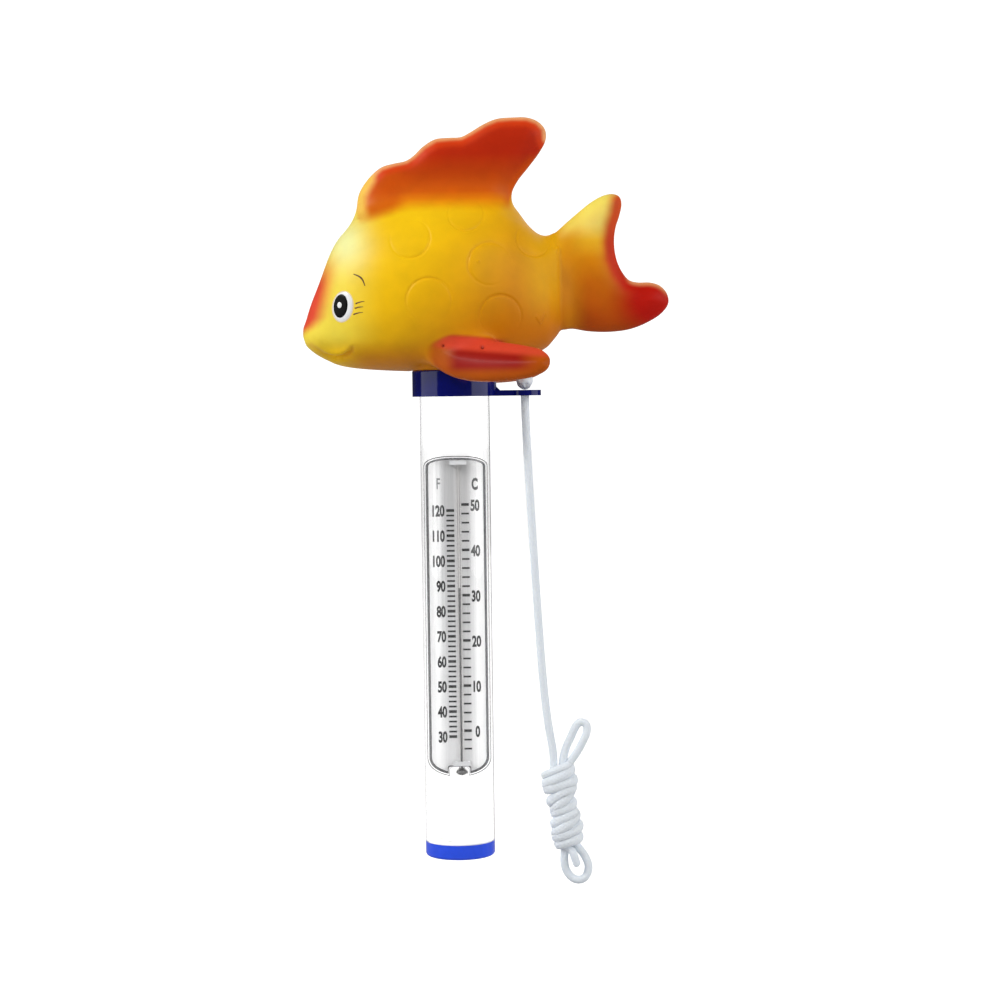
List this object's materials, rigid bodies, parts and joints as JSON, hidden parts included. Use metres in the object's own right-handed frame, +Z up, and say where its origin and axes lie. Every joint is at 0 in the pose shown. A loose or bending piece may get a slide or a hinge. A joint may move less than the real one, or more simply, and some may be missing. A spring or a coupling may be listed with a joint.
{
  "type": "floating pool thermometer",
  "caption": "Fish-shaped float over a clear tube that holds a glass liquid thermometer with a double scale, with a tether cord.",
  "frame": {"origin": "on the tube's axis, at the level where the fish floats", "axes": "+Z up along the tube, +X towards the fish's tail and the tether, -Y the side the scale is read from"},
  "size_m": [0.1163, 0.0734, 0.2451],
  "materials": {
    "vinyl": "satin",
    "navy": "gloss",
    "royal_blue": "gloss",
    "clear": "gloss",
    "frosted": "gloss",
    "card": "matte",
    "pale": "matte",
    "stem_glass": "polished",
    "liquid": "gloss",
    "seal": "matte",
    "cord": "matte"
  },
  "bodies": {
    "thermometer": {"float_shell": "vinyl", "top_cap": "navy", "neck_seal": "seal", "clear_tube": "clear", "bottom_cap": "royal_blue", "inlet_screen": "pale", "scale_frame": "frosted", "scale_card": "card", "glass_capillary": "stem_glass", "bulb_liquid": "liquid", "liquid_column": "liquid", "clip_upper": "pale", "clip_lower": "pale", "tether_knot": "cord"},
    "meniscus": {"liquid_meniscus": "liquid"},
    "tether": {"cord_drop": "cord", "hank_body": "cord", "hank_loop_upper": "cord", "hank_loop_lower": "cord"}
  },
  "joints": [
    {"name": "reading", "type": "slide", "parent": "thermometer", "child": "meniscus", "axis": [0, 0, 1], "range_m": [-0.0516, 0.0269], "deforming": ["liquid_column"]},
    {"name": "tether_swing", "type": "hinge", "parent": "thermometer", "child": "tether", "pos_m": [0.0226, 0, -0.01875], "axis": [0, 1, 0], "range_deg": [-70, 6]}
  ]
}
